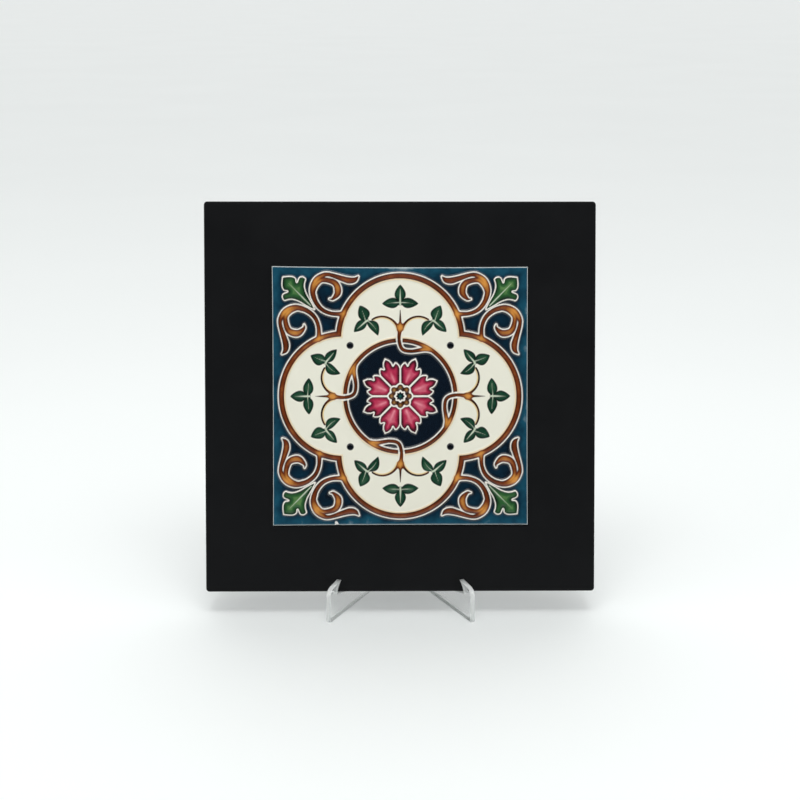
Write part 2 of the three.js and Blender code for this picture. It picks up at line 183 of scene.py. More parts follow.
floor_mesh = bpy.data.meshes.new("floor")
corner_signs = np.array([[-1, -1, 0], [1, -1, 0], [1, 1, 0], [-1, 1, 0]])
floor_mesh.from_pydata((corner_signs * FLOOR_REACH).tolist(), [], [(0, 1, 2, 3)])
floor_mesh.materials.append(paper)
floor = bpy.data.objects.new("floor", floor_mesh)
bpy.context.scene.collection.objects.link(floor)
print("floor", 2 * FLOOR_REACH, "m wide")

# %% Sky
SKY_STRENGTH = 0.74
FRONT_STRENGTH = 0.04
BEHIND_EXTRA = 0.75
# Parts of a ray's direction where each change starts and ends
FRONT_FADE = {1: -0.25, 2: -0.75}
LOW_FADE = {1: 0.75, 2: 0.4}
BEHIND_FADE = {1: 0.1, 2: 0.8}

world = bpy.data.worlds.new("soft white room")
bpy.context.scene.world = world
world.use_nodes = True
tree = world.node_tree
ray = node(tree, "SeparateXYZ", {0: node(tree, "TexCoord").outputs["Generated"]})
soft = {"interpolation_type": "SMOOTHSTEP"}
ahead = node(tree, "MapRange", {0: ray.outputs["Y"], **FRONT_FADE}, **soft)
low = node(tree, "MapRange", {0: ray.outputs["Z"], **LOW_FADE}, **soft)
dark = node(tree, "Math", {0: ahead.outputs[0], 1: low.outputs[0]}, operation="MULTIPLY")
strength = node(tree, "MapRange", {0: dark.outputs[0], 3: SKY_STRENGTH, 4: FRONT_STRENGTH})
rear = node(tree, "MapRange", {0: ray.outputs["Y"], **BEHIND_FADE, 4: BEHIND_EXTRA}, **soft)
all_round = node(tree, "Math", {0: strength.outputs[0], 1: rear.outputs[0]}, operation="ADD")
tree.links.new(all_round.outputs[0], tree.nodes["Background"].inputs["Strength"])
tree.nodes["Background"].inputs["Color"].default_value = (1, 1, 1, 1)
print("sky", len(tree.nodes), "nodes")

# %% Soft boxes
SOFT_BOXES = [
    # name, place, width, height, watts
    ("box above", (0.0, -0.45, 1.3), 0.9, 0.5, 5.2),
    ("box left", (-1.3, -0.6, 0.8), 0.9, 0.9, 2.0),
    ("box right", (1.3, -0.6, 0.8), 0.9, 0.9, 2.0),
]
LIT_PLACE = (0.0, 0.0, 0.12)
for name, place, width, height, watts in SOFT_BOXES:
    lamp = bpy.data.lights.new(name, "AREA")
    lamp.shape = "RECTANGLE"
    lamp.size = width
    lamp.size_y = height
    lamp.energy = watts
    holder = bpy.data.objects.new(name, lamp)
    toward = Matrix.Translation(LIT_PLACE).translation - Matrix.Translation(place).translation
    holder.matrix_world = Matrix.Translation(place) @ toward.to_track_quat("-Z", "Y").to_matrix().to_4x4()
    bpy.context.scene.collection.objects.link(holder)
bpy.context.scene.view_settings.view_transform = "Standard"
print("lights", [name for name, *_ in SOFT_BOXES])

# %% [markdown]
# Putting a surface into a mesh
#
# Every piece here is a grid of points: rows of loops or lines, each row with the same number of points.
# The faces between neighbours follow from the grid alone, so one function serves all pieces.


# %% Grid faces and pieces
def grid_faces(rows, columns, around):
    """Four-cornered faces between neighbours of a grid. Where it runs around, the last column meets the
    first."""
    index = np.arange(rows * columns).reshape(rows, columns)
    if around:
        index = np.hstack([index, index[:, :1]])
    return np.stack([index[:-1, :-1], index[:-1, 1:], index[1:, 1:], index[1:, :-1]], -1).reshape(-1, 4)


def add_piece(name, points, faces, materials, node_name):
    """A mesh of points in metres and faces, riding on the part, in place of one solid of the model."""
    mesh = bpy.data.meshes.new(name)
    mesh.from_pydata(points.tolist(), [], faces)
    mesh.polygons.foreach_set("use_smooth", np.ones(len(faces), bool))
    for material in materials:
        mesh.materials.append(material)
    piece = bpy.data.objects.new(name, mesh)
    bpy.context.scene.collection.objects.link(piece)
    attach(piece, "root")
    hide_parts(node_name)
    print(name, len(mesh.vertices), "points", len(faces), "faces")
    return piece


# %% [markdown]
# The board's shape
#
# The board is a square of fibreboard with small round corners and a softened edge, and a pocket is cut
# into its face for the tile. Its skin is a stack of rounded rectangles: out from the middle of the back,
# round the edge, over the face and down into the pocket. A narrow extra loop beside each softened edge
# keeps the flat faces flat in the shading.

# %% Board skin
BOARD_CORNER = 2.0
BOARD_ARRIS = 0.6
ARRIS_STEPS = 4
CORNER_POINTS = 7
POCKET_GAP = 0.3
POCKET_DEPTH = 6.5
POCKET_CORNER = 0.6
POCKET_ARRIS = 0.25
FLAT_MARGIN = 1.0


def rounded_rectangle(half_width, half_height, radius):
    """Loop of points: four quarter circles of the radius about the corners' own middles, joined by straight
    sides."""
    quarter = np.linspace(0, np.pi / 2, CORNER_POINTS)
    angle = quarter + np.arange(4)[:, None] * np.pi / 2
    sign_x = np.array([[1], [-1], [-1], [1]])
    sign_y = np.array([[1], [1], [-1], [-1]])
    x = sign_x * (half_width - radius) + radius * np.cos(angle)
    y = sign_y * (half_height - radius) + radius * np.sin(angle)
    return np.stack([x.ravel(), y.ravel()], 1)


def board_loop(inset, depth):
    """The board's outline drawn in by inset, at a depth behind the face."""
    half_width, half_height = board_half - inset
    loop = rounded_rectangle(half_width, half_height, max(BOARD_CORNER - inset, BOARD_CORNER / 4))
    return np.column_stack([loop, np.full(len(loop), -depth)])


def pocket_loop(outset, depth):
    """The pocket's outline, drawn out by outset, at a depth behind the face."""
    half_width, half_height = tile_half + POCKET_GAP + outset
    loop = rounded_rectangle(half_width, half_height, POCKET_CORNER + outset) + tile_middle
    return np.column_stack([loop, np.full(len(loop), -depth)])


bend = np.linspace(0, np.pi / 2, ARRIS_STEPS + 1)
edge_in = BOARD_ARRIS * (1 - np.sin(bend))
edge_down = BOARD_ARRIS * (1 - np.cos(bend))
board_loops = [board_loop(BOARD_ARRIS + FLAT_MARGIN, board_thickness)]
board_loops += [board_loop(i, board_thickness - d) for i, d in zip(edge_in, edge_down)]
board_loops += [board_loop(0, board_thickness - BOARD_ARRIS - FLAT_MARGIN)]
board_loops += [board_loop(0, BOARD_ARRIS + FLAT_MARGIN)]
board_loops += [board_loop(i, d) for i, d in zip(edge_in[::-1], edge_down[::-1])]
board_loops += [board_loop(BOARD_ARRIS + FLAT_MARGIN, 0)]
board_loops += [pocket_loop(POCKET_ARRIS + FLAT_MARGIN, 0), pocket_loop(POCKET_ARRIS, 0)]
board_loops += [pocket_loop(0, POCKET_ARRIS), pocket_loop(0, POCKET_ARRIS + FLAT_MARGIN)]
board_loops += [pocket_loop(0, POCKET_DEPTH)]
print("board skin", len(board_loops), "loops")

# %% [markdown]
# Satin black paint on fibreboard
#
# Sprayed and rubbed paint over a smooth board gives a deep, even black with a soft sheen. The film dries
# with a fine orange peel, about a millimetre from bump to bump, and rubbing leaves the sheen a little
# uneven over a few centimetres.

# %% Paint the board
PEEL_MM = 0.9
RUB_MM = 35.0

black_paint, tree, shader = new_material("satin black paint on fibreboard", {"Specular IOR Level": 0.18})
where = node(tree, "TexCoord").outputs["Object"]
rub = node(tree, "TexNoise", {"Vector": where, "Scale": PER_MM / RUB_MM, "Detail": 4.0, "Roughness": 0.6})
peel = node(tree, "TexNoise", {"Vector": where, "Scale": PER_MM / PEEL_MM, "Detail": 1.0})
blacks = {6: linear("#0c0d0f"), 7: linear("#101113")}
paint = node(tree, "Mix", {0: rub.outputs["Fac"], **blacks}, data_type="RGBA")
sheen = node(tree, "MapRange", {0: rub.outputs["Fac"], 1: 0.3, 2: 0.7, 3: 0.38, 4: 0.46})
bumps = node(tree, "Bump", {"Height": peel.outputs["Fac"], "Strength": 0.12, "Distance": 0.05 * MM})
tree.links.new(paint.outputs[2], shader.inputs["Base Color"])
tree.links.new(sheen.outputs[0], shader.inputs["Roughness"])
tree.links.new(bumps.outputs[0], shader.inputs["Normal"])

around = 4 * CORNER_POINTS
faces = grid_faces(len(board_loops), around, True).tolist()
faces.append(list(range(around))[::-1])
faces.append(list(range((len(board_loops) - 1) * around, len(board_loops) * around)))
board_points = stand(np.vstack(board_loops))
add_piece("painted_board", board_points, faces, [black_paint], "frame_board")

# %% [markdown]
# The tile's pattern
#
# The tile was pressed in a mould: bands stand up between pale ridges, leaves are sunk, petals have raised
# rims. Every form is drawn once, as the distance to its edge in millimetres, below zero inside. One such
# distance does two jobs later: it lifts the clay, and it tells the material where each glaze lies. The
# pattern repeats in eighths, so a point is first folded into one eighth, and the branches, which only
# turn, into one quarter.

# %% Sizes of the pattern
PATTERN_RISE = 0.2
PATTERN_SQUEEZE = 0.989
RIDGE = 1.05
LOBE_OFFSET = 34.6
LOBE_RADIUS = 37.15
LOBE_BAND = 1.55
RING_RADIUS = 33.4
RING_BAND = 1.2
DOT_OFFSET = 30.3
DOT_RADIUS = 2.0

# Rows of x, y and half the width along a band's middle
BRANCH = [(17.6, 27.6, 1.0), (14.0, 27.9, 1.1), (6.5, 26.85, 0.95), (1.2, 28.2, 0.95), (-0.7, 33.8, 0.95),
          (0.0, 42.0, 1.4)]
SCROLL = [(33.9, 49.0, 1.3), (41.5, 49.3, 1.05), (47.3, 51.8, 1.15), (51.2, 56.8, 1.3), (52.8, 63.0, 1.45),
          (50.9, 68.4, 1.6), (47.0, 71.5, 1.4), (42.8, 72.3, 1.05), (34.6, 69.9, 1.5), (30.6, 68.9, 1.75),
          (27.4, 69.3, 1.3), (25.2, 71.3, 0.1)]
CURL = [(51.7, 58.5, 1.2), (52.3, 62.2, 1.25), (50.5, 66.6, 1.45), (46.4, 69.2, 1.3), (39.3, 67.4, 1.65),
        (37.5, 62.0, 1.85), (40.4, 58.1, 0.75), (42.6, 57.9, 0.1)]
SPIKE = [(0.0, 41.0, 1.2), (0.0, 44.0, 0.75), (0.0, 51.5, 0.2)]
TENDRIL_CENTRE = (11.0, 37.3)
TENDRIL_RADIUS = 10.3
TENDRIL_ARC = (165, 55)
TENDRIL_POINTS = 25
# Half the width at the tip, and how much more there is at the root
TENDRIL_WIDTHS = (0.55, 0.3)
# A golden gleam runs along the inner side of each tendril, with this half-width at root and tip
GLEAM_INSET = 0.8
GLEAM_WIDTHS = (0.6, 0.4)
print("scroll", len(SCROLL), "rows, curl", len(CURL), "rows")

# %% [markdown]
# Distances to bands and outlines
#
# A band is a path whose width changes. Its distance is worked out piece by piece along a smooth curve. A
# leaf or a petal is a closed outline: the distance to its nearest side, counted as below zero inside.


# %% Distance functions
def smooth_path(rows, steps=8):
    """Catmull-Rom curve through the rows: between two rows, a cubic whose slopes are half the difference of
    the rows on either side. The first and last rows are carried on in a straight line."""
    p = np.array(rows, float)
    p = np.vstack([2 * p[0] - p[1], p, 2 * p[-1] - p[-2]])
    t = np.linspace(0, 1, steps, endpoint=False)[:, None]
    a, b, c, d = (p[i:len(p) - 3 + i, None] for i in range(4))
    curve = (2 * b + (c - a) * t + (2 * a - 5 * b + 4 * c - d) * t**2 + (3 * b - a - 3 * c + d) * t**3) / 2
    return np.vstack([curve.reshape(-1, p.shape[1]), p[-2]])


def band_distance(x, y, rows):
    """Distance to a band's edge: to the nearest point of each straight piece, less the half-width there; the
    least over all pieces."""
    best = np.full(x.shape, 1e3)
    for (ax, ay, aw), (bx, by, bw) in zip(rows[:-1], rows[1:]):
        dx, dy = bx - ax, by - ay
        t = np.clip(((x - ax) * dx + (y - ay) * dy) / (dx * dx + dy * dy), 0, 1)
        away = np.hypot(x - ax - t * dx, y - ay - t * dy) - aw - t * (bw - aw)
        np.minimum(best, away, out=best)
    return best


def outline_distance(x, y, outline):
    """Distance to the nearest side of a closed outline, below zero where a line from the point to the right
    crosses the outline an odd number of times."""
    best = np.full(x.shape, 1e3)
    inside = np.zeros(x.shape, bool)
    for (ax, ay), (bx, by) in zip(outline, np.roll(outline, -1, 0)):
        dx, dy = bx - ax, by - ay
        t = np.clip(((x - ax) * dx + (y - ay) * dy) / (dx * dx + dy * dy), 0, 1)
        np.minimum(best, np.hypot(x - ax - t * dx, y - ay - t * dy), out=best)
        if dy:
            inside ^= ((ay > y) != (by > y)) & (x < ax + dx * (y - ay) / dy)
    return np.where(inside, -best, best)


def merged(first, second, fillet):
    """The nearer of two distances, with a rounded corner where both are close, as clay has."""
    near = np.maximum(fillet - np.abs(first - second), 0)
    return np.minimum(first, second) - near**2 / (4 * fillet)


def ease(v, start, end):
    """0 before start, 1 after end, and 3t^2 - 2t^3 between; start may be the larger one."""
    t = np.clip((v - start) / (end - start), 0, 1)
    return t * t * (3 - 2 * t)


# %% Leaves and petals
# Base, tip, half-width to the left and right, and how far the middle bends left
LEAVES = [((21.0, 45.4), (24.4, 54.2), 3.9, 3.3, 0.2), ((20.6, 44.9), (28.0, 38.3), 3.0, 2.8, 0.1),
          ((19.5, 44.8), (13.4, 36.1), 2.6, 3.1, -1.1), ((0.6, 56.0), (11.0, 55.2), 3.1, 3.2, 0.0),
          ((0.0, 57.0), (0.0, 66.6), 3.4, 3.4, 0.0)]
# Where the three leaves of a trefoil grow together
STALKS = [[(0.0, 55.3, 1.2), (0.0, 59.0, 2.0)], [(20.2, 45.0, 1.3), (21.6, 46.6, 1.6)]]
# The pale stem that runs into a trefoil
STEMS = [[(0.0, 54.3, 0.5), (0.0, 58.0, 0.45), (0.0, 64.0, 0.05)],
         [(18.4, 46.0, 0.5), (21.0, 44.4, 0.5), (26.0, 40.1, 0.05)]]
LEAF_FULLNESS = 0.72
LEAF_ROUNDNESS = 0.8
LEAF_POINTS = 17
# Half outlines: distance back from the tip along the diagonal, or out from the middle, and to the side
CORNER_LEAF_TIP = 100.2
CORNER_LEAF = [(0, 0), (2.6, 3.2), (4.6, 4.8), (6.6, 5.1), (8.4, 3.9), (7.3, 6.9), (8.5, 8.9), (10.9, 9.3),
               (12.2, 7.2), (14.0, 5.2), (17.5, 3.4), (21.5, 2.3), (25.5, 1.1), (27.5, 0.4)]
CORNER_VEIN = [(24.0, 0.0, 0.3), (17.0, 0.0, 0.35), (5.5, 0.0, 0.1)]
PETALS = 8
PETAL = [(6.4, 2.8), (15.5, 6.6), (17.5, 6.5), (19.4, 5.7), (20.0, 4.7), (18.6, 2.9), (20.4, 2.9),
         (22.4, 2.1), (24.5, 0)]


def leaf_lines(base, tip, left, right, bend):
    """A leaf's outline and its midrib. Along the leaf the width grows and shrinks as a power of a sine, and
    the midrib bows as 4t(1 - t)."""
    base, tip = np.array(base), np.array(tip)
    along = tip - base
    side = np.array([-along[1], along[0]]) / np.hypot(*along)
    t = np.linspace(0, 1, LEAF_POINTS)[:, None]
    width = np.abs(np.sin(np.pi * t**LEAF_FULLNESS)) ** LEAF_ROUNDNESS
    middle = base + along * t + side * (bend * 4 * t * (1 - t))
    outline = np.vstack([middle + left * width * side, (middle - right * width * side)[-2:0:-1]])
    midrib = np.column_stack([middle, 0.25 - 0.3 * t])[: LEAF_POINTS * 3 // 4]
    return outline, midrib


def both_sides(half):
    """A half outline and its mirror image, as one loop."""
    half = np.array(half, float)
    other = half[half[:, 1] > 0] * [1, -1]
    return np.vstack([half, other[::-1]])


print("petal outline", len(both_sides(PETAL)), "points")

# %% [markdown]
# The grid of the face
#
# The face is one grid of 301 by 301 points, about half a millimetre apart and closer at the edge, where
# the clay rounds off. Each distance is worked out for all points at once.

# %% Lay out the grid and fold it
LINES = 301
EDGE_STEPS = np.array([0.0, 0.15, 0.4, 0.8])


def grid_lines(half):
    """Places of the grid lines from one edge to the other: a few close ones at each edge and even ones
    between."""
    even = np.linspace(-half + EDGE_STEPS[-1], half - EDGE_STEPS[-1], LINES - 2 * len(EDGE_STEPS) + 2)
    return np.concatenate([EDGE_STEPS[:-1] - half, even, half - EDGE_STEPS[-2::-1]])


tile_x, tile_y = np.meshgrid(grid_lines(tile_half[0]), grid_lines(tile_half[1]))
px = tile_x / PATTERN_SQUEEZE
py = tile_y - PATTERN_RISE
eighth_u = np.minimum(np.abs(px), np.abs(py))
eighth_v = np.maximum(np.abs(px), np.abs(py))
turns = np.round(np.arctan2(py, px) / (np.pi / 2) - 1) * np.pi / 2
quarter_x = px * np.cos(turns) + py * np.sin(turns)
quarter_y = py * np.cos(turns) - px * np.sin(turns)
radius = np.hypot(px, py)
print("grid", tile_x.shape, "step", round(float(tile_x[0, 151] - tile_x[0, 150]), 3), "mm")

# %% Distances of the bands
lobe = np.hypot(eighth_u, eighth_v - LOBE_OFFSET) - LOBE_RADIUS
cream = np.maximum(lobe, RING_RADIUS - radius)
branch = band_distance(quarter_x, quarter_y, smooth_path(BRANCH))
scroll = band_distance(eighth_u, eighth_v, smooth_path(SCROLL))
curl = band_distance(eighth_u, eighth_v, smooth_path(CURL))
# Where a branch crosses, it lies over the ring, and its ridge cuts the ring. Further on they join.
CROSSING_ENDS = (5.0, 9.0)
FAR = 50.0
over = RIDGE - branch - FAR * ease(quarter_x, *CROSSING_ENDS)
ring = np.maximum(np.abs(radius - RING_RADIUS) - RING_BAND, over)
FILLET = 0.8
band = merged(np.abs(lobe) - LOBE_BAND, merged(scroll, curl, FILLET / 4), FILLET)
band = np.minimum(band, merged(ring, branch, FILLET))

arc = np.radians(np.linspace(*TENDRIL_ARC, TENDRIL_POINTS))
arc_way = np.stack([np.cos(arc), np.sin(arc)], 1)
tip_width, root_extra = TENDRIL_WIDTHS
tendril_widths = tip_width + root_extra * np.linspace(1, 0, TENDRIL_POINTS) ** 3
tendril_rows = np.column_stack([TENDRIL_CENTRE + TENDRIL_RADIUS * arc_way, tendril_widths])
gleam_widths = np.linspace(*GLEAM_WIDTHS, TENDRIL_POINTS)
gleam_rows = np.column_stack([TENDRIL_CENTRE + (TENDRIL_RADIUS - GLEAM_INSET) * arc_way, gleam_widths])
tendril = band_distance(eighth_u, eighth_v, tendril_rows)
tendril = np.minimum(tendril, band_distance(eighth_u, eighth_v, SPIKE))
gleam = band_distance(eighth_u, eighth_v, gleam_rows)
print("bands cover", round(float((band < 0).mean()) * 100, 1), "% of the face")

# %% Distances of leaves, petals and beads
ROSETTE_RADIUS = 6.6
ROSETTE_RIDGE = 1.0
BEAD_CIRCLE = 5.3
BEAD_RADIUS = 1.65
STAR_RADIUS = 3.5
STAR_POINT = 0.35
BOSS_RADIUS = 2.3

leaf = np.full(px.shape, FAR)
vein = np.full(px.shape, FAR)
for shape in LEAVES:
    outline, midrib = leaf_lines(*shape)
    leaf = np.minimum(leaf, outline_distance(eighth_u, eighth_v, outline))
    vein = np.minimum(vein, band_distance(eighth_u, eighth_v, midrib))
for rows in STALKS:
    leaf = merged(leaf, band_distance(eighth_u, eighth_v, rows), FILLET)
for rows in STEMS:
    vein = np.minimum(vein, band_distance(eighth_u, eighth_v, rows))
leaf_back = CORNER_LEAF_TIP - (eighth_u + eighth_v) / math.sqrt(2)
leaf_side = (eighth_v - eighth_u) / math.sqrt(2)
corner = outline_distance(leaf_back, leaf_side, both_sides(smooth_path(CORNER_LEAF, 4)))
vein = np.minimum(vein, band_distance(leaf_back, leaf_side, CORNER_VEIN))

angle = np.arctan2(py, px)
petal_turn = (np.floor(angle / (2 * np.pi / PETALS)) + 0.5) * 2 * np.pi / PETALS
petal_out = px * np.cos(petal_turn) + py * np.sin(petal_turn)
petal_side = py * np.cos(petal_turn) - px * np.sin(petal_turn)
petal = outline_distance(petal_out, petal_side, both_sides(PETAL))
bead_turn = np.round(angle / (2 * np.pi / PETALS)) * 2 * np.pi / PETALS
bead = np.hypot(px - BEAD_CIRCLE * np.cos(bead_turn), py - BEAD_CIRCLE * np.sin(bead_turn)) - BEAD_RADIUS
rosette = np.minimum(bead - ROSETTE_RIDGE, radius - ROSETTE_RADIUS)
points_out = STAR_POINT * np.cos(PETALS * angle)
star = radius - STAR_RADIUS - points_out
boss = radius - BOSS_RADIUS - points_out
dot = np.hypot(eighth_u - DOT_OFFSET, eighth_v - DOT_OFFSET) - DOT_RADIUS
print("leaves cover", round(float((leaf < 0).mean()) * 100, 1), "% of the face")

# %% [markdown]
# The relief
#
# Heights are counted from the blue ground. A band's cross-section is one profile over the distance to its
# edge: a rounded back, a groove, the pale ridge and the fall to the ground. Petals and corner leaves have
# a rim and a pillow inside it. The tile's edge is rounded, one chip is broken out of the lower edge, and
# the corners of the face stand out a little, as they do on pressed tiles.

# %% Heights of the clay
TILE_BODY = 7.5
TILE_ARRIS = 0.8
FIELD_HEIGHT = 0.5
CELL_DEPTH = 0.5
TENDRIL_HEIGHT = 0.35
VEIN_HEIGHT = 0.3
CORNER_VEIN_HEIGHT = 0.2
BEAD_HEIGHT = 0.5
BOSS_SHARE = 0.6
PILLOW_REACH = 2.2
# Distance to the edge and height, both in mm
BAND_PROFILE = np.array([(-1.5, 1.05), (-0.9, 0.98), (-0.3, 0.76), (-0.05, 0.74), (0.25, 0.98), (0.5, 1.1),
                         (0.75, 1.0), (1.05, 0.55), (1.4, 0.0)])
RIM_PROFILE = np.array([(-3.2, 0.92), (-2.0, 0.84), (-1.4, 0.68), (-1.1, 0.68), (-0.8, 0.98), (-0.5, 1.1),
                        (-0.2, 0.98), (0.1, 0.5), (0.5, 0.0)])
PAD_PROFILE = np.array([(-1.2, 0.8), (-0.6, 0.95), (-0.2, 0.8), (0.4, 0.0)])

pillow = 1 - (1 - np.clip(-leaf / PILLOW_REACH, 0, 1)) ** 2
height = FIELD_HEIGHT * ease(cream, 0.6, -0.6)
height -= CELL_DEPTH * ease(leaf, 0.3, -0.5) * (1 - 0.5 * pillow)
height += VEIN_HEIGHT * ease(vein, 0.35, -0.25) * ease(leaf, 0.4, -0.4)
height += TENDRIL_HEIGHT * ease(np.minimum(tendril, gleam), 0.45, -0.35)
height -= CELL_DEPTH * ease(dot, 0.3, -0.6)
height = np.maximum(height, np.interp(band, *BAND_PROFILE.T))
corner_vein = CORNER_VEIN_HEIGHT * ease(vein, 0.4, -0.3) * (corner < -1)
height = np.maximum(height, np.interp(corner, *RIM_PROFILE.T) + corner_vein)
height = np.maximum(height, np.interp(petal, *RIM_PROFILE.T))
height = np.maximum(height, np.interp(rosette, *PAD_PROFILE.T))
height += BEAD_HEIGHT * np.sqrt(np.clip(1 - ((bead + BEAD_RADIUS) / BEAD_RADIUS) ** 2, 0, 1))
height += BEAD_HEIGHT * np.sqrt(np.clip(1 - (radius / BOSS_RADIUS) ** 2, 0, 1)) * BOSS_SHARE
print("relief from", height.min().round(2), "to", height.max().round(2), "mm")

# %% Edge, chip and flared corners
CHIP_PLACE = (-38.4, -77.2)
CHIP_SIZE = (1.1, 2.3)
CHIP_LEAN = 0.25
CHIP_DEPTH = 0.9
# How far each corner of the face stands out to the side and up or down
FLARES = {(-1, 1): (0.35, 0.8), (1, 1): (0.05, 0.35), (-1, -1): (0.3, 0.4), (1, -1): (0.4, 0.1)}
FLARE_POWER = 4

edge = np.maximum(np.abs(tile_x) - tile_half[0], np.abs(tile_y) - tile_half[1])
rounding = np.clip(1 + edge / TILE_ARRIS, 0, 1)
height -= TILE_ARRIS * (1 - np.sqrt(1 - rounding**2 * 0.98))
chip_across = (px - CHIP_PLACE[0] + CHIP_LEAN * (py - CHIP_PLACE[1])) / CHIP_SIZE[0]
chip = (np.hypot(chip_across, (py - CHIP_PLACE[1]) / CHIP_SIZE[1]) - 1) * CHIP_SIZE[0]
height -= CHIP_DEPTH * ease(chip, 0.1, -0.6)
face_x, face_y = tile_x.copy(), tile_y.copy()
for (side_x, side_y), (out_x, out_y) in FLARES.items():
    share_x = (1 + side_x * tile_x / tile_half[0]) / 2
    share_y = (1 + side_y * tile_y / tile_half[1]) / 2
    share = (share_x * share_y) ** FLARE_POWER
    face_x += side_x * out_x * share
    face_y += side_y * out_y * share
print("edge drops to", height[0, 150].round(2), "mm below the ground")

# %% [markdown]
# The tile's mesh
#
# The face is the grid lifted by its heights. Its border then runs down as a wall, drawn in to the
# pocket's size at the board's face, to the flat back. A map of the face is laid out flat for anyone who
# wants to bake the glazes to an image: the face fills most of it, the wall lies in a strip above and the
# back in a corner.

# %% Join face, wall and back
border = np.concatenate([
    np.arange(LINES - 1),
    np.arange(LINES - 1) * LINES + LINES - 1,
    LINES * LINES - 1 - np.arange(LINES - 1),
    (LINES - 1 - np.arange(LINES - 1)) * LINES,
])
flat = np.column_stack([face_x.ravel(), face_y.ravel(), height.ravel() + tile_back + TILE_BODY])
WALL_DRAFT = 0.1
wall_plan = np.column_stack([tile_x.ravel(), tile_y.ravel()])[border]
wall_shrink = 1 - WALL_DRAFT / tile_half
wall_top = np.column_stack([wall_plan * wall_shrink, np.zeros(len(border))])
wall_foot = np.column_stack([wall_plan * wall_shrink, np.full(len(border), tile_back)])
tile_points = np.vstack([flat, wall_top, wall_foot])
tile_points[:, :2] += tile_middle

face_count = LINES * LINES
top_ring = np.concatenate([border, border[:1]])
ring_one = face_count + np.arange(len(border) + 1) % len(border)
ring_two = ring_one + len(border)
rings = np.stack([ring_two, ring_one, top_ring])
wall_faces = np.stack([rings[:-1, :-1], rings[:-1, 1:], rings[1:, 1:], rings[1:, :-1]], -1).reshape(-1, 4)
face_quads = grid_faces(LINES, LINES, False)
back_face = ring_two[:-1][::-1]
tile_faces = face_quads.tolist() + wall_faces.tolist() + [back_face.tolist()]
print("tile", len(tile_points), "points,", len(border), "of them along the face's border")

# %% [markdown]
# How deep the glaze lies
#
# Transparent glazes run off the high places and pool in the low ones, so each colour goes from pale to
# dark with the depth of the glaze. The depth of each glaze is a number from 0, thin, to 1, thick, for
# every point. Brown is thin and golden where bands fork, dark beside the ridges. Blue is thinner along
# the tile's edge and thick in the scrolls' eyes and around the flower. The boss's teal middle, at the thin
# end of its scale, is a painted highlight on top of the dome.

# %% Depth of each glaze
# Places where the brown breaks golden: x, y, reach in mm and how strong
GOLD_IN_EIGHTH = [(50.6, 68.2, 4.5, 0.55), (34.2, 49.0, 3.0, 0.5), (38.6, 64.0, 4.0, 0.25)]
GOLD_IN_QUARTER = [(0.0, 41.0, 2.6, 0.6), (15.5, 28.4, 4.0, 0.55)]
BROWN_FILLET = 1.5
CREST_REACH = 1.3
# The blue at the tile's edge, how much deeper it is inside this stretch, and in the disc round the flower
GROUND_AT_EDGE = 0.42
GROUND_INSIDE = (0.36, 1.0, 14.0)
GROUND_IN_DISC = (0.35, 36.0, 30.0)
# It is thin where the top lobe comes near the edge, by this much and over this width and height
THIN_SHARE = 0.36
THIN_SIZE = (8.0, 2.2)
# It is darker beside the ridges, this much deeper and this far out
RIDGE_DARKENING = 0.16
RIDGE_DARKENING_REACH = 1.6
# A pale streak runs up each petal: its half-width over the distance out, and where it starts and ends
STREAK_SPREAD = 0.06
STREAK_START = (7.0, 10.0)
STREAK_END = (18.0, 12.0)

brown = merged(band, tendril, BROWN_FILLET)
crest = np.clip(-brown / CREST_REACH, 0, 1)
band_depth = 0.9 - 0.4 * crest + 0.1 * ease(band, 0.1, 1.0)
for gold_x, gold_y, reach, share in GOLD_IN_EIGHTH:
    band_depth -= share * np.exp(-((eighth_u - gold_x) ** 2 + (eighth_v - gold_y) ** 2) / reach**2)
for gold_x, gold_y, reach, share in GOLD_IN_QUARTER:
    band_depth -= share * np.exp(-((quarter_x - gold_x) ** 2 + (quarter_y - gold_y) ** 2) / reach**2)
ground_depth = GROUND_AT_EDGE + GROUND_INSIDE[0] * ease(-edge, *GROUND_INSIDE[1:])
ground_depth += GROUND_IN_DISC[0] * ease(radius, *GROUND_IN_DISC[1:])
thin_place = (px / THIN_SIZE[0]) ** 2 + ((py - tile_half[1]) / THIN_SIZE[1]) ** 2
ground_depth -= THIN_SHARE * np.exp(-thin_place)
beside = np.minimum(np.minimum(band - RIDGE, corner), petal)
# The blue is made darker beside the ridges
ground_depth += RIDGE_DARKENING * np.exp(-((np.maximum(beside, 0) / RIDGE_DARKENING_REACH) ** 2))
leaf_depth = 0.95 - 0.5 * pillow
corner_depth = 0.9 - 0.55 * np.clip((-corner - 1) / 2.5, 0, 1)
streak = np.exp(-((petal_side / (STREAK_SPREAD * petal_out)) ** 2))
streak = streak * ease(petal_out, *STREAK_START) * ease(petal_out, *STREAK_END)
petal_depth = 1.0 - 0.6 * np.clip((-petal - 0.8) / 2.2, 0, 1) - 0.35 * streak
petal_depth += 0.2 * ease(petal_out, 17.0, 23.0)
bead_depth = np.clip(1 + bead / BEAD_RADIUS, 0, 1)
# Painted highlight: the boss is teal at its middle, on top of the dome, and dark further out
boss_glint_and_depth = radius / BOSS_RADIUS
print("blue from", ground_depth.min().round(2), "to", ground_depth.max().round(2), "deep")

# %% Collect what the glazes read
FORK_HEIGHT = 39.5
# A ridge is bare clay from the first to the second distance outside a band's edge
BARE_FROM = 0.1
BARE_TO = 0.85
# A rim's bare line: how far inside the outline its middle lies, and half its width
CORNER_RIM = (0.3, 0.4)
PETAL_RIM = (0.32, 0.42)
BLUSH_REACH = 0.7
EDGE_LINE = 0.33

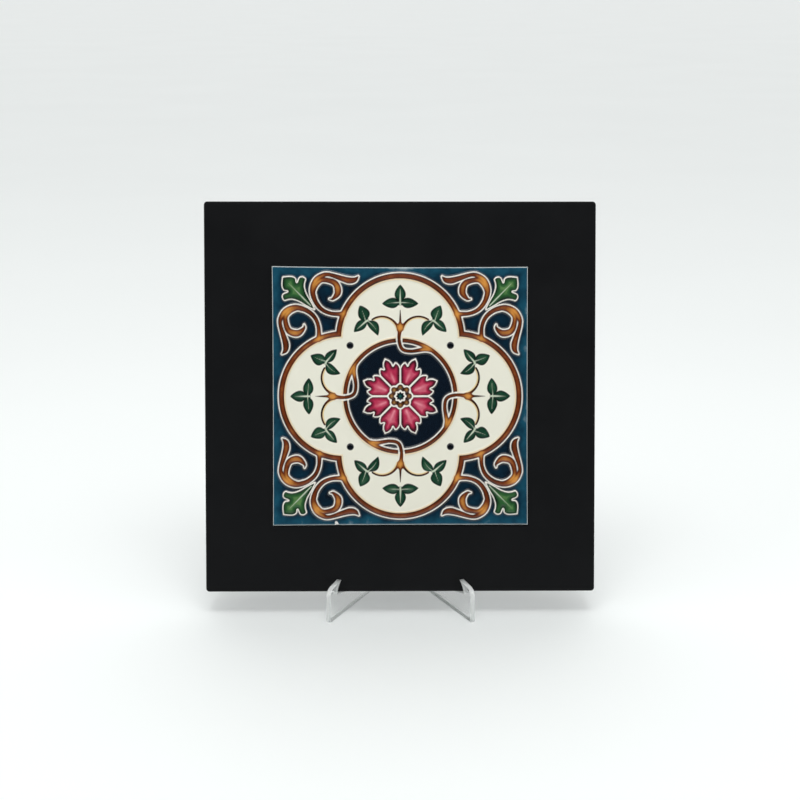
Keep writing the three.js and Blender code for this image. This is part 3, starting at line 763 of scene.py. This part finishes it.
bare = np.maximum(np.maximum(BARE_FROM - band, band - BARE_TO), -cream - 0.5)
bare_branch = np.maximum(np.maximum(BARE_FROM - brown, branch - BARE_TO), quarter_y - FORK_HEIGHT)
ridge = np.minimum(bare, bare_branch)
ridge = np.minimum(ridge, np.abs(corner + CORNER_RIM[0]) - CORNER_RIM[1])
ridge = np.minimum(ridge, np.abs(petal + PETAL_RIM[0]) - PETAL_RIM[1])
ridge = np.minimum(ridge, rosette)
blush = np.maximum(cream + 1, band - BLUSH_REACH)
vein_shown = np.maximum(vein, np.minimum(leaf, corner + 0.6))
glaze_fields = {
    "cream": cream, "leaf": leaf, "gleam": gleam, "band": brown, "ridge": ridge, "blush": blush,
    "corner": corner + 0.65, "petal": np.maximum(petal + 0.75, 0.1 - rosette), "vein": vein_shown,
    "bead": np.maximum(rosette + 0.9, -star), "boss": boss, "dot": dot - 0.15,
    "edge": -edge - EDGE_LINE, "chip": chip,
    "ground_depth": ground_depth, "band_depth": band_depth, "leaf_depth": leaf_depth,
    "corner_depth": corner_depth, "petal_depth": petal_depth, "bead_depth": bead_depth,
    "boss_glint_and_depth": boss_glint_and_depth,
}
print(len(glaze_fields), "fields for the glazes")

# %% [markdown]
# Majolica glazes on white earthenware
#
# Lead-rich coloured glazes were laid by hand into the cells between the ridges and fired glossy. The
# shine is that of glass, with a slow waviness a few millimetres long. Where a ridge breaks through, the
# glaze is almost clear and the white clay shows. Each glaze is a row below: the field that says where it
# lies, the field of its depth, how soft its border is, and its colours from thin to thick. The material
# lays them over one another.

# %% Mix the glazes
GLAZES = [
    # where, depth, softness in mm, colours from thin to thick
    ("cream", None, 0.3, ("#faf8e8",)),
    ("blush", None, 0.7, ("#f8dcb0",)),
    ("gleam", None, 0.35, ("#f4d8a0",)),
    ("leaf", "leaf_depth", 0.25, ("#547e5c", "#1c4431", "#05120c")),
    ("band", "band_depth", 0.2, ("#de9848", "#7a391c", "#1e0a03")),
    ("ridge", None, 0.25, ("#fffaf0",)),
    ("corner", "corner_depth", 0.2, ("#86ad6a", "#346538", "#0b2216")),
    ("petal", "petal_depth", 0.2, ("#f095a4", "#c23557", "#440e1e")),
    ("vein", None, 0.25, ("#cfdcc4",)),
    ("bead", "bead_depth", 0.25, ("#b08a4a", "#764620", "#2e1508")),
    # The boss's thin end, teal, is a painted highlight on the dome
    ("boss", "boss_glint_and_depth", 0.25, ("#2f7a6c", "#0d262b", "#08131b")),
    ("dot", None, 0.35, ("#080e16",)),
    ("edge", None, 0.25, ("#eaf2f0",)),
    ("chip", None, 0.2, ("#fdfcf8",)),
]
GROUND = ("#9fb2b8", "#1b5268", "#0b2d40", "#0c1825")
BLOTCH_MM = 9.0
WAVE_MM = 3.5

glazes, tree, shader = new_material("majolica glaze on white earthenware", {"IOR": 1.52, "Roughness": 0.1})
where = node(tree, "TexCoord").outputs["Object"]
blotches = {"Scale": PER_MM / BLOTCH_MM, "Detail": 3.0, "Roughness": 0.55}
blotch = node(tree, "TexNoise", {"Vector": where, **blotches})
uneven = node(tree, "MapRange", {0: blotch.outputs["Fac"], 1: 0.25, 2: 0.75, 3: -0.2, 4: 0.2}, clamp=False)


def glaze_tone(depth_name, colours):
    """Socket of a glaze's colour: its depth, made a little uneven, looked up between its thin and thick
    colours."""
    depth = node(tree, "Attribute", attribute_name=depth_name)
    parts = {0: depth.outputs["Fac"], 1: uneven.outputs[0]}
    mixed = node(tree, "Math", parts, operation="ADD", use_clamp=True)
    ramp = node(tree, "ValToRGB", {0: mixed.outputs[0]})
    stops = ramp.color_ramp.elements
    places = np.linspace(0, 1, len(colours)).tolist()
    for place in places[1:-1]:
        stops.new(place)
    for stop, hex_code in zip(stops, colours):
        stop.color = linear(hex_code)
    return ramp.outputs["Color"]


colour = glaze_tone("ground_depth", GROUND)
for field, depth_name, softness, colours in GLAZES:
    distance = node(tree, "Attribute", attribute_name=field)
    limits = {0: distance.outputs["Fac"], 1: softness, 2: -softness}
    cover = node(tree, "MapRange", limits, interpolation_type="SMOOTHSTEP")
    tone = glaze_tone(depth_name, colours) if depth_name else linear(colours[0])
    colour = node(tree, "Mix", {0: cover.outputs[0], 6: colour, 7: tone}, data_type="RGBA").outputs[2]
wave = node(tree, "TexNoise", {"Vector": where, "Scale": PER_MM / WAVE_MM, "Detail": 2.0})
waviness = node(tree, "Bump", {"Height": wave.outputs["Fac"], "Strength": 0.25, "Distance": 0.08 * MM})
tree.links.new(colour, shader.inputs["Base Color"])
tree.links.new(waviness.outputs[0], shader.inputs["Normal"])
print(len(GLAZES) + 1, "glazes,", len(tree.nodes), "nodes")

# %% Add the tile with its fields and its map
FACE_SHARE = 0.9
STRIP = (0.92, 0.94, 0.96)
BACK_SHARE = 0.06

tile = add_piece("glazed_tile", stand(tile_points), tile_faces, [glazes], "tile")
for name, values in glaze_fields.items():
    face_values = values.ravel()
    all_values = np.concatenate([face_values, face_values[border], face_values[border]])
    attribute = tile.data.attributes.new(name, "FLOAT", "POINT")
    attribute.data.foreach_set("value", all_values.astype(np.float32))
face_map = (np.column_stack([tile_x.ravel(), tile_y.ravel()]) / tile_half + 1) / 2 * FACE_SHARE
run = np.linspace(0, 1, len(border) + 1)
wall_map = np.stack([np.stack([run, np.full(len(run), level)], -1) for level in STRIP])
wall_corners = [wall_map[:-1, :-1], wall_map[:-1, 1:], wall_map[1:, 1:], wall_map[1:, :-1]]
back_map = (wall_plan[::-1] / tile_half + 1) / 2 * BACK_SHARE + [1 - BACK_SHARE, 0]
corner_map = [face_map[face_quads].reshape(-1, 2), np.stack(wall_corners, -2).reshape(-1, 2), back_map]
layer = tile.data.uv_layers.new(name="OFBake")
layer.uv.foreach_set("vector", np.vstack(corner_map).astype(np.float32).ravel())

# %% [markdown]
# The easel's shape
#
# Two panels are cut from clear sheet, with a hook in front for the board's lower edge and a tall rest
# behind it. Each has a slot, one from above and one from below, so that they push together into a cross.
# A panel is its outline carried through the sheet's thickness, with the cut edges a little rounded by
# flame polishing.

# %% Sizes of a panel
SHEET = 3.0
SPLAY = math.radians(28)
SPREAD = 37.2
SEAT_GAP = 0.5
REST_GAP = 1.2
FOOT_FRONT = -12.5
HOOK_TIP = (1.0, 22.4)
HOOK_HOLLOW = (-3.2, 19.7)
HOOK_SHOULDER = (-6.5, 21.4)
HOOK_CROWN = (-12.5, 20.4)
HOOK_FRONT_HEIGHT = 16.5
HOOK_THROAT = -4.2
REST_HEIGHT = 110.0
REST_WIDTH = 10.0
HEEL_BACK = 96.0
HEEL_HEIGHT = 30.0
HEEL_SWEEP = (66.0, 42.0)
WAIST_HEIGHT = 55.0
SLOT_CLEARANCE = 0.3
SLOT_HEIGHT = 24.0
CURVE_POINTS = 24
POLISH = 0.3

seat = np.array([0.0, board_low[1], board_high[2]]) @ BOARD_AXES
print("board's front edge at", seat.round(2), "mm")


# %% Outline of a panel
def bezier(points):
    """Points along a Bezier curve: each control point weighted by the binomial terms of t and 1 - t."""
    control = np.array(points, float)
    degree = len(control) - 1
    t = np.linspace(0, 1, CURVE_POINTS)[:, None]
    weights = [math.comb(degree, k) * t**k * (1 - t) ** (degree - k) for k in range(degree + 1)]
    return sum(weight * point for weight, point in zip(weights, control))


def panel_outline(slot_from_below):
    """Loop of a panel, back along it (u) and up (v): foot, heel, sweep up to the rest, seat and hook. The
    slot is as wide as the other panel's slanting cut."""
    rest_foot = board_thickness * math.cos(LEAN) / math.cos(SPLAY) + REST_GAP
    rest_foot_height = seat[2] - board_thickness * math.sin(LEAN)
    slope = math.tan(LEAN) / math.cos(SPLAY)
    seat_fall = math.cos(SPLAY) * math.tan(LEAN)
    top_radius = REST_WIDTH / 2
    top_height = REST_HEIGHT - top_radius
    top_middle = rest_foot + (top_height - rest_foot_height) * slope + top_radius * math.hypot(1, slope)
    under_rest = seat[2] - SEAT_GAP - rest_foot * seat_fall
    sweep_end = top_middle + top_radius
    heel = (HEEL_BACK, HEEL_HEIGHT)
    sweep = bezier([heel, HEEL_SWEEP, (sweep_end, WAIST_HEIGHT), (sweep_end, top_height)])
    turn = np.linspace(0, np.pi - math.atan(slope), CURVE_POINTS)
    top = np.column_stack([top_middle + top_radius * np.cos(turn), top_height + top_radius * np.sin(turn)])
    crossing = SPREAD / math.sin(SPLAY)
    slot_half = (SHEET / math.sin(2 * SPLAY) + SHEET / math.tan(2 * SPLAY)) / 2 + SLOT_CLEARANCE
    before, behind = crossing - slot_half, crossing + slot_half
    if slot_from_below:
        deep = SLOT_HEIGHT + SLOT_CLEARANCE / 2
        foot = [(FOOT_FRONT, 0), (before, 0), (before, deep), (behind, deep), (behind, 0), (HEEL_BACK, 0)]
        back = sweep
    else:
        deep = SLOT_HEIGHT - SLOT_CLEARANCE / 2
        foot = [(FOOT_FRONT, 0), (HEEL_BACK, 0)]
        lip = np.interp([-behind, -before], -sweep[:, 0], sweep[:, 1])
        slot = [(behind, lip[0]), (behind, deep), (before, deep), (before, lip[1])]
        back = np.vstack([sweep[sweep[:, 0] > behind], slot, sweep[sweep[:, 0] < before]])
    rest = [(rest_foot + (under_rest - rest_foot_height) * slope, under_rest)]
    throat = (HOOK_THROAT, seat[2] - SEAT_GAP - HOOK_THROAT * seat_fall)
    hollow = bezier([throat, HOOK_HOLLOW, HOOK_TIP])
    crown = bezier([HOOK_SHOULDER, HOOK_CROWN, (FOOT_FRONT, HOOK_FRONT_HEIGHT)])
    return np.vstack([foot, back, top[1:], rest, hollow, crown])


def drawn_in(outline, distance):
    """An outline moved inwards: each point goes along the line that halves its corner, far enough for both
    sides to move by the distance."""
    step = np.roll(outline, -1, 0) - outline
    normal = np.column_stack([-step[:, 1], step[:, 0]]) / np.hypot(*step.T)[:, None]
    earlier = np.roll(normal, 1, 0)
    share = 1 + (normal * earlier).sum(1, keepdims=True)
    return outline + distance * (normal + earlier) / np.maximum(share, 0.5)


# %% [markdown]
# Clear cast acrylic
#
# Cast acrylic is colourless and bends light at 1.49. The sheet's faces are as smooth as glass. Its cut
# edges were polished by a flame and stay a little wavy, which makes them catch bright and dark lines. Their
# whitish, mostly solid colour is painted light: it stands in for the light that the sheet carries out to
# its edges. A low alpha lets part of the light straight through the faces, so the floor beyond a panel
# stays as bright as it does in life.

# %% Plastic of the faces and the cut edges
EDGE_WAVE_MM = 1.6
HAZE_MM = 30.0
ACRYLIC_IOR = 1.49

see_through = {"IOR": ACRYLIC_IOR, "Transmission Weight": 1.0, "Alpha": 0.2}
sheet_face, tree, shader = new_material("clear cast acrylic", see_through)
shader.inputs["Base Color"].default_value = linear("#fcfefe")
where = node(tree, "TexCoord").outputs["Object"]
haze = node(tree, "TexNoise", {"Vector": where, "Scale": PER_MM / HAZE_MM, "Detail": 2.0})
handled = node(tree, "MapRange", {0: haze.outputs["Fac"], 1: 0.4, 2: 0.8, 3: 0.008, 4: 0.03})
tree.links.new(handled.outputs[0], shader.inputs["Roughness"])
# Painted glow: the cut edges get a whitish, mostly solid colour in place of light carried through the sheet
painted_edge_glow = {"IOR": ACRYLIC_IOR, "Transmission Weight": 0.2, "Roughness": 0.2, "Alpha": 0.8}
cut_edge, tree, shader = new_material("flame polished acrylic edge with painted glow", painted_edge_glow)
shader.inputs["Base Color"].default_value = linear("#fafdfc")
where = node(tree, "TexCoord").outputs["Object"]
ripple = node(tree, "TexNoise", {"Vector": where, "Scale": PER_MM / EDGE_WAVE_MM, "Detail": 1.0})
rippled = node(tree, "Bump", {"Height": ripple.outputs["Fac"], "Strength": 0.3, "Distance": 0.1 * MM})
tree.links.new(rippled.outputs[0], shader.inputs["Normal"])
print("plastic", sheet_face.name, "and", cut_edge.name)

# %% Two panels
bend = np.linspace(0, np.pi / 2, 4)
polish_in = POLISH * (1 - np.sin(bend))
polish_across = SHEET / 2 - POLISH * (1 - np.cos(bend))
for side, name in ((-1, "left"), (1, "right")):
    outline = panel_outline(slot_from_below=side > 0)
    insets = np.concatenate([polish_in, polish_in[::-1]])
    across = np.concatenate([-polish_across, polish_across[::-1]])
    loops = np.stack([drawn_in(outline, inset) for inset in insets])
    back_way = np.array([-side * math.sin(SPLAY), math.cos(SPLAY), 0])
    through = np.array([math.cos(SPLAY), side * math.sin(SPLAY), 0])
    foot = np.array([side * SPREAD, seat[1], 0])
    points = foot + loops[..., :1] * back_way + across[:, None, None] * through
    points[..., 2] = loops[..., 1]
    count = len(outline)
    faces = grid_faces(len(insets), count, True).tolist()
    faces.append(list(range(count))[::-1])
    faces.append(list(range((len(insets) - 1) * count, len(insets) * count)))
    panel = add_piece(f"acrylic_panel_{name}", points.reshape(-1, 3) * MM, faces, [sheet_face, cut_edge],
                      f"easel_leg_{name}")
    kinds = np.ones(len(faces), np.int32)
    kinds[-2:] = 0
    panel.data.polygons.foreach_set("material_index", kinds)
    panel.data.polygons.foreach_set("use_smooth", kinds.astype(bool))
